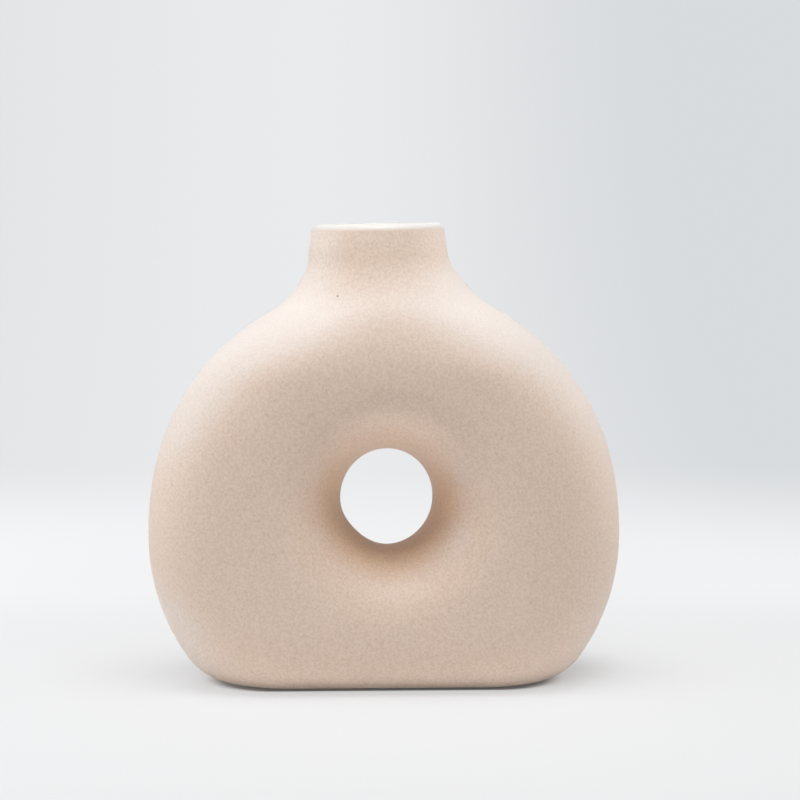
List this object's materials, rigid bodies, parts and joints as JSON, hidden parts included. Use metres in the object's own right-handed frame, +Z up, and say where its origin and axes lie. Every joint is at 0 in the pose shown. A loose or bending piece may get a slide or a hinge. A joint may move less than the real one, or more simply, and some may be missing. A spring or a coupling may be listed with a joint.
{
  "type": "donut vase",
  "caption": "Ring-shaped ceramic flower vase: flat-faced hollow body with a flared round hole through it, a short round neck and small pads under a flat base.",
  "frame": {"origin": "on the table plane, under the middle of the body", "axes": "+Z up along the neck, -Y out of the front face, +X to the right seen from the front"},
  "size_m": [0.2066, 0.0922, 0.2],
  "materials": {
    "speckled_clay": "matte, fine sand speckle",
    "bare_clay": "unglazed, open sand",
    "white_glaze": "smooth satin glaze",
    "pad_rubber": "matte moulded rubber"
  },
  "bodies": {
    "root": {"front_shell": "speckled_clay", "rear_shell": "speckled_clay", "tunnel_sleeve": "speckled_clay", "neck_collar": "speckled_clay", "base_slab": "bare_clay", "liner_glaze": "white_glaze", "foot_pad_1": "pad_rubber", "foot_pad_2": "pad_rubber", "foot_pad_3": "pad_rubber", "foot_pad_4": "pad_rubber"}
  },
  "joints": []
}
